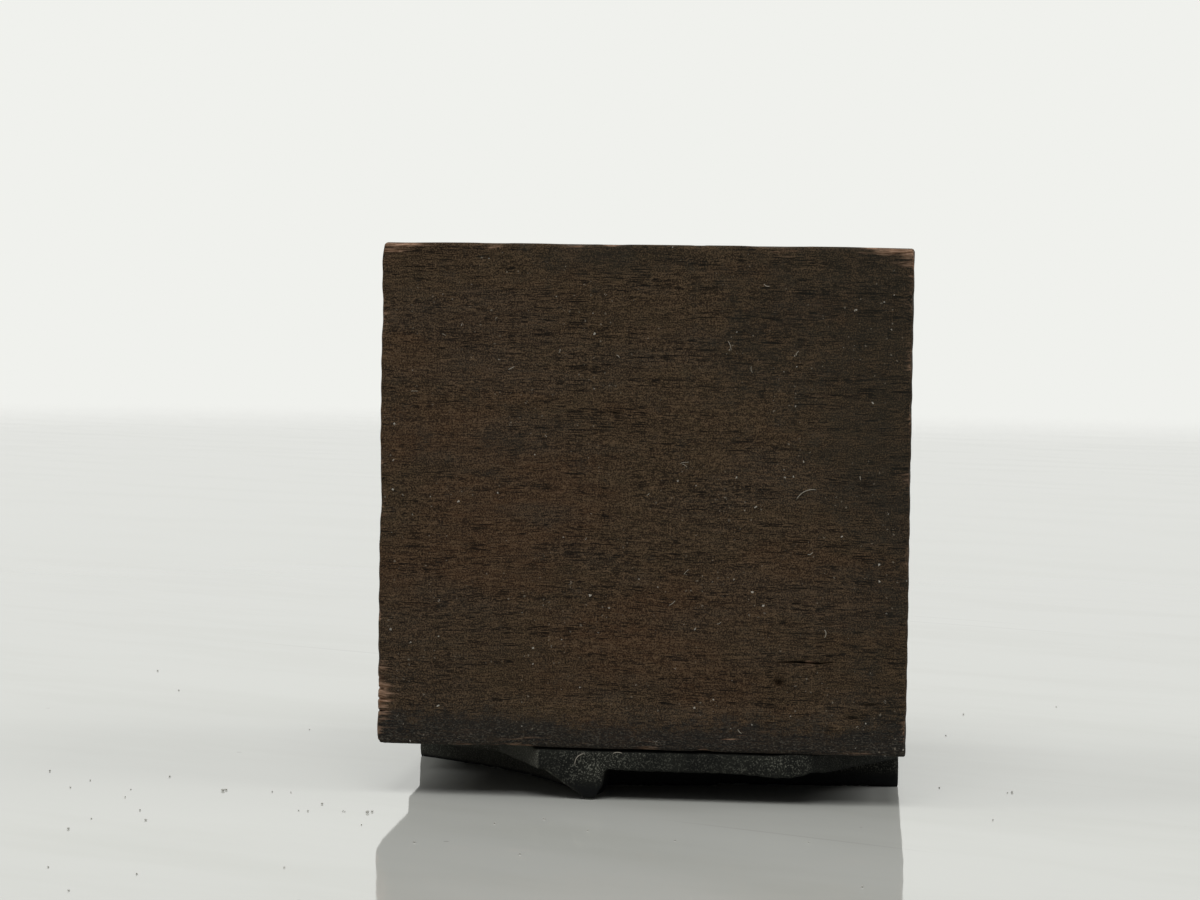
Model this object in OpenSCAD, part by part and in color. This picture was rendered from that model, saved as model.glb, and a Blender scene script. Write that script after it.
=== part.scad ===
// Letterpress printing block: a hardwood mount, a cast type-metal plate with
// a leaf in relief, and the wire brads that hold the plate to the wood.
// The block stands on its printing face. X runs along the grain, Y from the
// front to the back, Z up from the printing face to the foot.

/* [Block] */
// Height from the printing face to the foot (type height)
type_height = 23.32; // [20:0.01:30]
// Width of the wood along the grain
block_width = 22.27; // [20:0.01:30]
// Depth of the wood from front to back
block_depth = 20.2; // [19:0.01:30]
// Radius of the worn wooden edges
edge_radius = 0.35; // [0.1:0.01:1]

/* [Plate] */
// Thickness of the plate from the wood to the printing face
plate_thickness = 2.16; // [1.7:0.01:4]
// Thickness of the routed flange that the brads go through
flange_thickness = 0.9; // [0.7:0.01:1.2]
// Distance from the wood's sides to the plate's sides
side_margin = 0.23; // [0.05:0.01:0.6]
// Distance from the wood's front to the plate's front
front_margin = 0.05; // [0.02:0.01:0.4]
// Distance from the wood's back to the plate's back
back_margin = 0.65; // [0.1:0.01:1]
// Length that the left front corner cut takes off the front edge
left_cut_width = 6.6; // [5:0.01:7]
// Length that the left front corner cut takes off the left edge
left_cut_depth = 7.5; // [6:0.01:8]
// Distance from the plate's left side to the bend in that cut
left_bend_width = 4.45; // [3.5:0.01:5]
// Distance from the plate's front to the bend in that cut
left_bend_depth = 4.4; // [3.5:0.01:5]
// Length that the right front corner cut takes off the front edge
right_cut_width = 3.7; // [2:0.01:4.5]
// Length that the right front corner cut takes off the right edge
right_cut_depth = 5.5; // [3:0.01:6]
// Size of the small cuts at the back corners
back_cut = 1.1; // [0.3:0.01:1.6]

/* [Leaf] */
// Distance from the plate's centre line left to the stem
stem_offset = 1.88; // [1:0.01:3]
// Width of the stem at the printing face
stem_width = 0.5; // [0.3:0.01:0.8]
// Width of the slope on the left side of the stem
stem_slope = 1.9; // [1:0.01:2.2]
// Distance from the plate's front to the foot of the leaf
leaf_base = 3.9; // [3.6:0.01:4.4]
// Distance from the plate's front to the left tip of the leaf
left_tip = 11.1; // [10.6:0.01:12]
// Distance from the plate's front to the right tip of the leaf
right_tip = 5.9; // [5.4:0.01:6.6]
// Distance from the stem to the small step in the leaf's right edge
step_distance = 4.95; // [3:0.01:6]
// Height of that step
step_height = 0.5; // [0.2:0.01:0.7]
// Distance from the top of the leaf to the plate's back
crown_margin = 2.3; // [2:0.01:3.5]
// Depth of the notch in the top of the leaf
notch_depth = 3.4; // [1:0.01:5]
// Width of the notch at the edge of the leaf
notch_width = 3; // [2:0.01:4]
// Width of the raised line along the edge of the leaf
rim_width = 0.45; // [0.3:0.01:0.8]
// Width of a raised vein at the edge of the leaf
vein_width = 0.3; // [0.2:0.01:0.45]
// Number of veins
vein_count = 25; // [9:2:31]
// Depth of the etched ground between the veins
ground_depth = 0.45; // [0.2:0.01:0.6]

/* [Brads] */
// Length of a brad from the head's face to the point
brad_length = 11.1; // [8:0.1:14]
// Diameter of the wire
wire_diameter = 1.04; // [0.8:0.01:1.2]
// Diameter of a brad's head
head_diameter = 1.7; // [1.4:0.01:1.8]
// Thickness of a brad's head
head_thickness = 0.35; // [0.2:0.01:0.45]
// Length of a brad's point
point_length = 1.5; // [1:0.1:2.5]
// Diameter of the flat at the very point
tip_diameter = 0.16; // [0.1:0.01:0.3]
// Gap between a brad and its hole, all round
brad_gap = 0.02; // [0.01:0.005:0.05]
// Distance from the plate's front to the front brads
front_brad_inset = 2.15; // [1.5:0.01:2.4]
// Distance from the plate's back to the brads in the back corners
back_brad_inset = 1.75; // [1.5:0.01:2]
// Distance from the plate's sides to the brads along them
side_brad_inset = 2; // [1.6:0.01:2.1]
// Distance from the stem to the left one of the front brads
stem_to_brad = 2.9; // [2:0.01:3.2]
// Distance from the right front cut to the right one of the front brads
cut_to_brad = 1.4; // [1:0.01:2]
// Distance that the brad at the notch stands behind the corner ones
notch_brad_offset = 0.45; // [0.3:0.01:0.6]

/* [Hidden] */
round_steps = 48;
over = 1;

wood_height = type_height - plate_thickness;
relief_height = plate_thickness - flange_thickness;

// Edges of the plate, seen from above
plate_left = -block_width / 2 + side_margin;
plate_right = block_width / 2 - side_margin;
plate_front = -block_depth / 2 + front_margin;
plate_back = block_depth / 2 - back_margin;

// The stem and the leaf's tips, which the plate's sides cut off
tip_overhang = 0.4;
stem_x = -stem_offset;
stem_left = stem_x - stem_width / 2;
stem_right = stem_x + stem_width / 2;
leaf_foot = [stem_x, plate_front + leaf_base];
left_tip_point = [plate_left - tip_overhang, plate_front + left_tip + tip_overhang];
right_tip_point = [plate_right + tip_overhang, plate_front + right_tip];
crown_y = plate_back - crown_margin;

function unit(v) = v / norm(v);
function bearing(p, q) = atan2(q[1] - p[1], q[0] - p[0]);
function on_ray(p, angle, reach) = p + reach * [cos(angle), sin(angle)];

// A point on a cubic curve with four control points
function on_curve(c, t) =
    pow(1 - t, 3) * c[0] + 3 * pow(1 - t, 2) * t * c[1]
    + 3 * (1 - t) * pow(t, 2) * c[2] + pow(t, 3) * c[3];

// Points moved sideways by a distance, to the left of their direction
function moved(points, distance) = [
    for (i = [0 : len(points) - 1])
        let (
            before = points[max(i - 1, 0)],
            after = points[min(i + 1, len(points) - 1)],
            along = unit(after - before)
        )
        points[i] + distance * [-along[1], along[0]]
];

// The crown is the leaf's wavy top edge, drawn by angle and reach from the foot
crown_steps = 120;
long_waves = 7;
long_wave_height = 0.09;
short_waves = 17;
short_wave_height = 0.05;
right_angle = bearing(leaf_foot, right_tip_point);
left_angle = bearing(leaf_foot, left_tip_point);
middle_angle = (right_angle + left_angle) / 2;
right_reach = norm(right_tip_point - leaf_foot);
left_reach = norm(left_tip_point - leaf_foot);
crown_reach = (crown_y - leaf_foot[1]) / sin(middle_angle);
crown_length = crown_reach * (left_angle - right_angle) * PI / 180;

function crown_angle(u) = right_angle + u * (left_angle - right_angle);
// Runs from the right tip's reach through the crown's to the left tip's
function smooth_reach(u) =
    right_reach * (1 - u) * (1 - 2 * u) + 4 * crown_reach * u * (1 - u)
    + left_reach * u * (2 * u - 1);
function wave_at(u) =
    long_wave_height * (cos(360 * long_waves * u) - 1)
    + short_wave_height * (cos(360 * short_waves * u) - 1);
// The notch is a sharp V in the middle, whose sides curve out into the edge of the leaf
function notch_at(u, width) =
    let (reach = width / crown_length)
    notch_depth * (1 - sin(90 * min(1, abs(2 * u - 1) / reach)));
function crown_line(inset) = [
    for (i = [1 : crown_steps - 1])
        let (
            u = i / crown_steps,
            notch = notch_at(u, notch_width + 2 * inset)
        )
        on_ray(leaf_foot, crown_angle(u), smooth_reach(u) + wave_at(u) - inset - notch)
];

// The leaf's edge in four stretches, counter-clockwise from the stem's end
stem_corner = 0.15;
stem_right_side = [
    [stem_right, plate_front - over],
    [stem_right, leaf_foot[1] - stem_corner],
];
step_rise = 0.9;
step_point = leaf_foot + [step_distance, step_rise];
right_margin = [
    [stem_right + stem_corner, leaf_foot[1]],
    step_point,
    step_point + [step_height / 5, step_height],
    right_tip_point,
];
margin_steps = 14;
stem_end = [stem_left, plate_front - over / 2];
tip_pull = [3.3, -2.5];
stem_pull = [-1.45, 6.75];
left_curve = [
    left_tip_point,
    left_tip_point + tip_pull,
    stem_end + stem_pull,
    stem_end,
];
left_margin = [
    for (i = [0 : margin_steps]) on_curve(left_curve, i / margin_steps)
];
leaf_edge = concat(stem_right_side, right_margin, crown_line(0), left_margin);

// Every fourth vein starts at the stem and the others further out
vein_starts = [0.5, 6.8, 4, 6.8];
vein_taper = 0.7;
vein_foot = leaf_foot - [0, 0.35];
vein_margin_angle = 5.5;
first_vein_angle = bearing(vein_foot, right_tip_point) + vein_margin_angle;
last_vein_angle = bearing(vein_foot, left_tip_point) - vein_margin_angle;
// The ground between the veins follows the left margin for this many steps
ground_steps = 10;

// Places of the brads, on the flange beside the leaf
front_row = plate_front + front_brad_inset;
back_row = plate_back - back_brad_inset;
left_column = plate_left + side_brad_inset;
notch_x = on_ray(leaf_foot, middle_angle, crown_reach)[0];
brad_front_left_at = [stem_x + stem_to_brad, front_row];
brad_front_right_at = [plate_right - right_cut_width - cut_to_brad, front_row];
brad_left_at = [left_column, plate_front + left_cut_depth];
brad_back_left_at = [left_column, back_row];
brad_back_middle_at = [notch_x, back_row + notch_brad_offset];
brad_back_right_at = [plate_right - side_brad_inset, back_row];
brad_places = [brad_front_left_at, brad_front_right_at, brad_left_at,
    brad_back_left_at, brad_back_middle_at, brad_back_right_at];

module rounded_rectangle(width, depth, radius) {
    square([width - 2 * radius, depth], center = true);
    square([width, depth - 2 * radius], center = true);
    for (x = [-1, 1], y = [-1, 1])
        translate([x * (width / 2 - radius), y * (depth / 2 - radius)])
            circle(r = radius, $fn = round_steps);
}

// A box whose twelve edges are rounded, centred on the origin
module worn_box(width, depth, height, radius) {
    intersection() {
        linear_extrude(height, center = true)
            rounded_rectangle(width, depth, radius);
        rotate([90, 0, 0])
            linear_extrude(depth, center = true)
                rounded_rectangle(width, height, radius);
        rotate([90, 0, 90])
            linear_extrude(width, center = true)
                rounded_rectangle(depth, height, radius);
    }
}

// A brad, point up, with its head's face at the origin. A gap makes its hole.
module brad_shape(gap) {
    straight = brad_length - point_length;
    cylinder(d = head_diameter + 2 * gap, h = head_thickness, $fn = round_steps);
    cylinder(d = wire_diameter + 2 * gap, h = straight, $fn = round_steps);
    translate([0, 0, straight])
        cylinder(d1 = wire_diameter + 2 * gap, d2 = tip_diameter + 2 * gap,
            h = point_length + gap, $fn = round_steps);
}

module at_brad(place) {
    translate([place[0], place[1], relief_height])
        children();
}

module brad_holes() {
    for (place = brad_places)
        at_brad(place)
            brad_shape(brad_gap);
}

module plate_outline() {
    polygon([
        [plate_left + left_cut_width, plate_front],
        [plate_right - right_cut_width, plate_front],
        [plate_right, plate_front + right_cut_depth],
        [plate_right, plate_back - back_cut],
        [plate_right - back_cut, plate_back],
        [plate_left + back_cut, plate_back],
        [plate_left, plate_back - back_cut],
        [plate_left, plate_front + left_cut_depth],
        [plate_left + left_bend_width, plate_front + left_bend_depth],
    ]);
}

// The metal left standing on the left side of the stem
module stem_side() {
    translate([stem_left, plate_front + leaf_base, 0])
        rotate([90, 0, 0])
            linear_extrude(leaf_base + over)
                polygon([
                    [0, 0],
                    [stem_width, 0],
                    [stem_width, relief_height + over / 2],
                    [-stem_slope, relief_height + over / 2],
                    [-stem_slope, relief_height],
                ]);
}

// The leaf's face inside the raised line along its edge
module leaf_ground() {
    far = 2 * crown_reach;
    right_line = moved(right_margin, rim_width);
    left_line = moved(left_margin, rim_width);
    intersection() {
        polygon(concat([leaf_foot], crown_line(rim_width)));
        polygon(concat(
            right_line,
            [on_ray(right_line[len(right_line) - 1], right_angle, far)],
            [on_ray(leaf_foot, middle_angle, far)],
            [on_ray(left_line[0], left_angle, far)],
            [for (i = [0 : ground_steps]) left_line[i]]
        ));
    }
}

// A straight vein that widens from its start to the edge of the leaf
module vein(angle, start) {
    reach = crown_reach + over;
    across = vein_width / 2 * [-sin(angle), cos(angle)];
    polygon([
        on_ray(vein_foot, angle, start) + vein_taper * across,
        on_ray(vein_foot, angle, start) - vein_taper * across,
        on_ray(vein_foot, angle, reach) - across,
        on_ray(vein_foot, angle, reach) + across,
    ]);
}

// The etched ground between the veins
module counters() {
    step = (last_vein_angle - first_vein_angle) / (vein_count - 1);
    difference() {
        leaf_ground();
        for (i = [0 : vein_count - 1])
            vein(first_vein_angle + i * step, vein_starts[i % len(vein_starts)]);
    }
}

module wood_block() {
    color("#34291f")
        difference() {
            translate([0, 0, plate_thickness + wood_height / 2])
                worn_box(block_width, block_depth, wood_height, edge_radius);
            brad_holes();
        }
}

module printing_plate() {
    color("#3b3a36")
        difference() {
            intersection() {
                translate([0, 0, -over])
                    linear_extrude(plate_thickness + over)
                        plate_outline();
                union() {
                    linear_extrude(plate_thickness)
                        polygon(leaf_edge);
                    stem_side();
                    translate([-block_width, -block_depth, relief_height])
                        cube([2 * block_width, 2 * block_depth, plate_thickness]);
                }
            }
            translate([0, 0, -over])
                linear_extrude(ground_depth + over)
                    counters();
            brad_holes();
        }
}

module brad(place) {
    color("#55524c")
        at_brad(place)
            brad_shape(0);
}

wood_block();
printing_plate();
brad(brad_front_left_at);  // brad_front_left
brad(brad_front_right_at);  // brad_front_right
brad(brad_left_at);  // brad_left
brad(brad_back_left_at);  // brad_back_left
brad(brad_back_middle_at);  // brad_back_middle
brad(brad_back_right_at);  // brad_back_right
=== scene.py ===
import math
from functools import partial

import bpy
import numpy as np
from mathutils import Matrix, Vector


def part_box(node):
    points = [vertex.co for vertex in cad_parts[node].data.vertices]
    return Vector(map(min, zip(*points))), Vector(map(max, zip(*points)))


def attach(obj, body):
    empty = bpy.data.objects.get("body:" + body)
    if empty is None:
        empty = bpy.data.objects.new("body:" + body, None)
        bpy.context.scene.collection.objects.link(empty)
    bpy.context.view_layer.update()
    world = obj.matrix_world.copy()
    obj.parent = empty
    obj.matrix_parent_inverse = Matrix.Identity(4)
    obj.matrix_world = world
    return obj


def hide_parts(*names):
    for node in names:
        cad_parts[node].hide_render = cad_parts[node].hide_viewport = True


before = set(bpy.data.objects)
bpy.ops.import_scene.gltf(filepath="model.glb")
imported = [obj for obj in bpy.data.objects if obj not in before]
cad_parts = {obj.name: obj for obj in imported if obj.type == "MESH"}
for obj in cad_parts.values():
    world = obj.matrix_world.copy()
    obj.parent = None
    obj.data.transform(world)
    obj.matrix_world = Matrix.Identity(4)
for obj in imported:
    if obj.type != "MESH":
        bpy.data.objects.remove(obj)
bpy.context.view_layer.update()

# Mesh code works in millimetres, and newObject turns them into metres
mm = 0.001
print("frame loaded:", ", ".join(sorted(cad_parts)))


def colour(hexValue):
    # sRGB hex to the linear values that sockets take
    parts = [int(hexValue[i:i + 2], 16) / 255 for i in (1, 3, 5)]
    linear = [p / 12.92 if p <= 0.04045 else ((p + 0.055) / 1.055) ** 2.4 for p in parts]
    return (*linear, 1)


# What most nodes of these kinds are set to here
usualSettings = {
    "Mix": {"data_type": "RGBA"},
    "Math": {"operation": "MULTIPLY"},
    "MapRange": {"interpolation_type": "SMOOTHSTEP"},
}


def addNode(tree, kind, sockets=(), **settings):
    # Sockets are values or other nodes' outputs, by place in a list or by name in a dictionary
    node = tree.nodes.new("ShaderNode" + kind)
    for name, value in {**usualSettings.get(kind, {}), **settings}.items():
        setattr(node, name, value)
    inputs = [socket for socket in node.inputs if socket.enabled]
    named = sockets.items() if isinstance(sockets, dict) else enumerate(sockets)
    for place, value in named:
        target = inputs[place] if isinstance(place, int) else node.inputs[place]
        if isinstance(value, bpy.types.NodeSocket):
            tree.links.new(value, target)
        else:
            target.default_value = value
    return next((socket for socket in node.outputs if socket.enabled), None)


def newMaterial(name):
    # The material, a function that adds nodes to it, and the place on the object in millimetres
    material = bpy.data.materials.new(name)
    material.use_nodes = True
    material.node_tree.nodes.clear()
    add = partial(addNode, material.node_tree)
    place = add("TexCoord").node.outputs["Object"]
    return material, add, add("VectorMath", [place, 1 / mm], operation="SCALE")


def nodeBox(name):
    # Lowest and highest corner of a node, in millimetres
    low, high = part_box(name)
    return np.array(low) / mm, np.array(high) / mm


def bumpyNoise(points, size, seed):
    # Smooth noise from -1 to 1; size is how far apart its bumps are, one number or one for each axis.
    # The large numbers scramble the corners of each cell into values that look random.
    scaled = points / np.array(size, float)
    cell = np.floor(scaled).astype(np.int64)
    part = scaled - cell
    part = part * part * (3 - 2 * part)
    total = np.zeros(len(points))
    for corner in np.ndindex(2, 2, 2):
        key = (cell + corner) @ np.array([73856093, 19349663, 83492791]) + seed * 668265263
        key = ((key ^ (key >> 15)) * 2246822519) & 0xffffffff
        key = ((key ^ (key >> 13)) * 3266489917) & 0xffffffff
        weight = np.prod(np.where(corner, part, 1 - part), axis=1)
        total += weight * ((key ^ (key >> 16)) / 0x7fffffff - 1)
    return total


def softStep(value, low, high):
    share = np.clip((value - low) / (high - low), 0, 1)
    return share * share * (3 - 2 * share)


def nearness(points, centre, size):
    # 1 at the centre, falling off smoothly over size along each axis
    return np.exp(-np.sum(((points - np.array(centre)) / np.array(size)) ** 2, axis=1))


def newObject(name, points, faces, material):
    mesh = bpy.data.meshes.new(name)
    mesh.from_pydata((np.asarray(points) * mm).tolist(), [], [list(face) for face in faces])
    mesh.materials.append(material)
    made = bpy.data.objects.new(name, mesh)
    bpy.context.scene.collection.objects.link(made)
    return made


def newPiece(name, points, faces, material, replaced=None):
    piece = newObject(name, points, faces, material)
    piece.data.shade_smooth()
    if replaced:
        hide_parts(replaced)
    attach(piece, "root")
    return piece


def ringFaces(first, count, rings, flipped=False):
    # Faces that join rings of points, each ring listed after the one before
    faces = []
    for ring in range(rings - 1):
        start = first + ring * count
        for i in range(count):
            after = (i + 1) % count
            others = [start + after, start + count + after, start + count + i]
            faces.append([start + i, *(others[::-1] if flipped else others)])
    return faces


def giveAttribute(piece, name, values):
    attribute = piece.data.attributes.new(name, "FLOAT", "POINT")
    attribute.data.foreach_set("value", np.clip(values, 0, 1).astype(np.float32))


# Camera at the photo's nearly level angle
view = {
    "place": (9.0855, -132.9, 19.848),
    "angles": (87.618, -0.8335, 5.111),
    "lens": 88.6,
    "sensor": 36,
    "nearest": 5,
}


def placeCamera():
    data = bpy.data.cameras.new("camera")
    data.lens = view["lens"]
    data.sensor_width = view["sensor"]
    data.clip_start = view["nearest"] * mm
    camera = bpy.data.objects.new("camera", data)
    camera.location = [place * mm for place in view["place"]]
    camera.rotation_euler = [math.radians(angle) for angle in view["angles"]]
    bpy.context.scene.collection.objects.link(camera)
    bpy.context.scene.camera = camera


# A bright room and three large soft boxes: one overhead, and one high up at each side
studio = {
    "roomLight": 0.15,
    "backdrop": "#f0f1ed",
    "boxSize": 340,
    "softBoxes": {
        "overhead": {"place": (0, -240, 510), "power": 1.5},
        "softBoxLeft": {"place": (-410, -40, 400), "power": 1.15},
        "softBoxRight": {"place": (430, -30, 400), "power": 1.2},
    },
}


def lightRoom():
    world = bpy.data.worlds.new("room")
    world.use_nodes = True
    world.node_tree.nodes.clear()
    add = partial(addNode, world.node_tree)
    # The camera and mirror images see the backdrop; the object gets only the room's light
    ray = add("LightPath").node.outputs
    seen = add("Math", [ray["Is Camera Ray"], ray["Is Glossy Ray"]], operation="ADD")
    seen = add("Math", [seen, ray["Is Transmission Ray"]], operation="ADD", use_clamp=True)
    light = add("Background", [(1, 1, 1, 1), studio["roomLight"]])
    backdrop = add("Background", [colour(studio["backdrop"]), 1])
    add("OutputWorld", [add("MixShader", [seen, light, backdrop])])
    bpy.context.scene.world = world
    for name, box in studio["softBoxes"].items():
        data = bpy.data.lights.new(name, "AREA")
        data.size = studio["boxSize"] * mm
        data.energy = box["power"]
        lamp = bpy.data.objects.new(name, data)
        lamp.location = [place * mm for place in box["place"]]
        lamp.rotation_euler = (-lamp.location).to_track_quat("-Z", "Y").to_euler()
        lamp.visible_glossy = False
        bpy.context.scene.collection.objects.link(lamp)


bpy.context.scene.view_settings.view_transform = "Standard"
placeCamera()
lightRoom()
print("camera and lights placed")


# Table top under the block, which ends softly as the photo's far edge does
tableTop = {
    "radius": 640,
    "fadeFrom": 380,
    "fadeTo": 600,
    "colour": "#cccdc7",
    "scuffColour": "#c6c7c0",
    "roughness": (0.035, 0.07),
    "scuffSize": (30, 9, 9),
    "wipedAt": 28,
    "scratchSize": (55, 0.9, 1),
    "scratchColour": "#8f908c",
    "dustStep": 3.2,
    "dustWidth": 0.16,
    "dustColour": "#8b8b85",
    "segments": 96,
    "rings": 12,
}


def pressedLaminate():
    # White laminate, pressed smooth: a clear mirror image at this low angle, broken by faint wiping
    # marks, a few hair scratches and specks of dust
    material, add, place = newMaterial("pressedWhiteLaminate")
    wipedAt = math.radians(tableTop["wipedAt"])
    turned = add("VectorRotate", {"Vector": place, "Angle": wipedAt}, rotation_type="Z_AXIS")
    scaled = add("VectorMath", [turned, tableTop["scuffSize"]], operation="DIVIDE")
    scuffs = add("TexNoise", {"Vector": scaled, "Scale": 1, "Detail": 4, "Roughness": 0.55})
    scuffs = add("MapRange", [scuffs, 0.4, 0.68, 0, 1])
    tint = add("Mix", [scuffs, colour(tableTop["colour"]), colour(tableTop["scuffColour"])])
    scratched = add("VectorMath", [turned, tableTop["scratchSize"]], operation="DIVIDE")
    scratches = add("TexNoise", {"Vector": scratched, "Scale": 1, "Detail": 1})
    scratches = add("MapRange", [scratches, 0.73, 0.77, 0, 0.16])
    tint = add("Mix", [scratches, tint, colour(tableTop["scratchColour"])])
    # One speck in each fourth cell or so, as a share of the cell's width
    dustNode = add("TexVoronoi", {"Vector": place, "Scale": 1 / tableTop["dustStep"]}).node
    chance = add("SeparateColor", [dustNode.outputs["Color"]])
    width = add("MapRange", [chance, 0.75, 1, 0, tableTop["dustWidth"] / tableTop["dustStep"]])
    dust = add("Math", [width, dustNode.outputs["Distance"]], operation="SUBTRACT")
    dust = add("MapRange", [dust, 0, 0.02, 0, 0.4])
    tint = add("Mix", [dust, tint, colour(tableTop["dustColour"])])
    gloss = add("MapRange", [scuffs, 0, 1, *tableTop["roughness"]])
    surface = add("BsdfPrincipled", {"Base Color": tint, "Roughness": gloss, "IOR": 1.56})
    flat = add("VectorMath", [place, (1, 1, 0)], operation="MULTIPLY")
    distance = add("VectorMath", [flat], operation="LENGTH").node.outputs["Value"]
    gone = add("MapRange", [distance, tableTop["fadeFrom"], tableTop["fadeTo"], 0, 1])
    below = add("NewGeometry").node.outputs["Backfacing"]
    gone = add("Math", [gone, below], operation="MAXIMUM")
    add("OutputMaterial", [add("MixShader", [gone, surface, add("BsdfTransparent")])])
    return material


def layTable():
    count, rings = tableTop["segments"], tableTop["rings"]
    turns = np.arange(count) * 2 * np.pi / count
    reaches = tableTop["radius"] * (np.arange(rings) + 1) / rings
    circle = np.column_stack([np.cos(turns), np.sin(turns), 0 * turns])
    points = np.concatenate([[[0, 0, 0]], *[reach * circle for reach in reaches]])
    faces = [[0, 1 + i, 1 + (i + 1) % count] for i in range(count)]
    faces += ringFaces(1, count, rings, flipped=True)
    table = newObject("tableTop", points, faces, pressedLaminate())


# Grit that lies on the table near the block: x, y and width
crumbs = {
    "places": [(-17.6, -10.5, 0.15), (-17.5, -10.3, 0.11), (-10.65, -15, 0.15), (-10.5, -14.75, 0.1),
               (-19.8, -16, 0.09), (-19, -18.3, 0.1), (-21.2, -18.3, 0.07), (-20.7, -7.1, 0.08),
               (-24.1, -10.8, 0.08), (-26.2, -6.5, 0.09), (-13.5, -14.9, 0.07), (-13.1, -15, 0.08),
               (-11.7, -14.8, 0.07), (-11.6, -14.9, 0.06), (-15.5, -10.4, 0.07), (-14.7, -10.4, 0.06),
               (-21.2, -12.9, 0.07), (-20, -28.8, 0.08), (-18.1, -33, 0.08), (-10.4, -17.9, 0.06),
               (15.8, -4.9, 0.11), (15.6, -5, 0.07), (12.7, -4.1, 0.08)],
    "others": 34,
    "widths": (0.05, 0.12),
    "reach": 34,
    "clearOf": 12,
    "flatness": 0.6,
    "unevenness": 0.45,
    "above": 0.004,
    "colours": ("#97968f", "#c6c5be"),
    "mottleSize": 0.111,
    "seed": 8,
    "turns": 9,
    "levels": 5,
}


def paperGrit():
    # Paper crumbs and grit, torn and dusty: matt, mottled from grey to off-white
    material, add, place = newMaterial("paperGrit")
    mottled = add("TexNoise", {"Vector": place, "Scale": 1 / crumbs["mottleSize"], "Detail": 2})
    tint = add("Mix", [mottled, *[colour(tone) for tone in crumbs["colours"]]])
    bump = add("Bump", {"Strength": 0.5, "Distance": 0.02 * mm, "Height": mottled})
    surface = add("BsdfPrincipled", {"Base Color": tint, "Roughness": 0.85, "Normal": bump})
    add("OutputMaterial", [surface])
    return material


def scatterCrumbs():
    count, levels = crumbs["turns"], crumbs["levels"]
    turns = np.arange(count) * 2 * np.pi / count
    tilts = np.linspace(0.15, np.pi - 0.15, levels)
    ball = np.array([[math.sin(tilt) * math.cos(turn), math.sin(tilt) * math.sin(turn), 1 - math.cos(tilt)]
                     for tilt in tilts for turn in turns])
    ball[:, 2] *= crumbs["flatness"]
    random = np.random.default_rng(crumbs["seed"])
    places = list(crumbs["places"])
    while len(places) < len(crumbs["places"]) + crumbs["others"]:
        x, y = random.uniform(-crumbs["reach"], crumbs["reach"], 2)
        width = random.uniform(*crumbs["widths"])
        if max(abs(x), abs(y)) > crumbs["clearOf"]:
            places.append((x, y, width))
    points, faces = [], []
    for x, y, width in places:
        first = len(points)
        uneven = 1 + crumbs["unevenness"] * bumpyNoise(ball + x, 0.7, 41)
        points.extend(ball * width / 2 * uneven[:, None] + (x, y, crumbs["above"]))
        faces += ringFaces(first, count, levels)
        faces.append([first + count - 1 - i for i in range(count)])
        faces.append([len(points) - count + i for i in range(count)])
    grains = newObject("crumbs", points, faces, paperGrit())


layTable()
scatterCrumbs()
print("table laid")


# Hardwood mount. Places on its front are x from the middle and z from the printing face.
woodBlock = {
    "lineStep": 0.16,
    "depthStep": 0.3,
    "arrisRadius": 0.17,
    "arrisChange": 0.05,
    "lowerArris": 0.9,
    "waviness": 0.02,
    "ridgeHeight": 0.01,
    "ridgeSize": (3.2, 0.36, 0.36),
    "sawMarks": 0.02,
    "sawStep": 1.1,
    "nicks": {"count": 72, "size": (0.15, 0.45), "stretch": (1, 2.6), "depth": (0.02, 0.1),
              "raw": (0.2, 0.8)},
    "dents": {"count": 26, "size": (0.2, 0.6), "depth": (0.01, 0.04)},
    "crack": {"x": 6.9, "z": 6.0, "length": 1.7, "width": 0.06, "depth": 0.35, "wander": 0.05},
    "pit": {"x": 5.8, "z": 5.15, "size": 0.15, "depth": 0.35},
    # Small splits in the front: x, z and length
    "splits": [(-10.95, 3.55, 0.5), (-10.9, 4.05, 0.7), (-11, 4.5, 0.45), (-10.85, 4.95, 0.5),
               (-1.2, 16.3, 0.5), (9.6, 4.3, 0.7), (8.9, 3.7, 0.5)],
    "splitWidth": 0.09,
    "splitDepth": 0.12,
    "inkHeight": 1.15,
    "inkSpot": {"x": 0.35, "z": 10.25, "size": (0.32, 0.6, 0.11), "ink": 1.3},
    # Ink on the other sides: place, size and strength
    "smudges": [
        ((11.1, 1, 16.5), (1, 2.6, 1.9), 0.75),
        ((-3.5, 10.1, 8.2), (3, 1, 1.6), 0.8),
        ((7.6, 10.1, 19), (1.5, 1, 1.1), 0.65),
        ((5.2, 3, 23.3), (2.6, 1.8, 1), 0.65),
        ((-6.5, 6, 23.3), (1.2, 1.5, 1), 0.5),
        ((-11.1, 4, 7), (1, 2.8, 2.2), 0.7),
    ],
    # Warmer and cooler patches: x, z, size and strength
    "warmPatches": [(-7, 11.5, (6.5, 14, 4.5), 0.9), (1, 6, (7, 14, 3), 0.25)],
    "coolPatches": [(-2.4, 22.9, (3.4, 3, 1.1), 0.6), (4.2, 18.6, (2.6, 3, 2.6), 0.5)],
    "inset": 0.004,
    "seed": 11,
}

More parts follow.
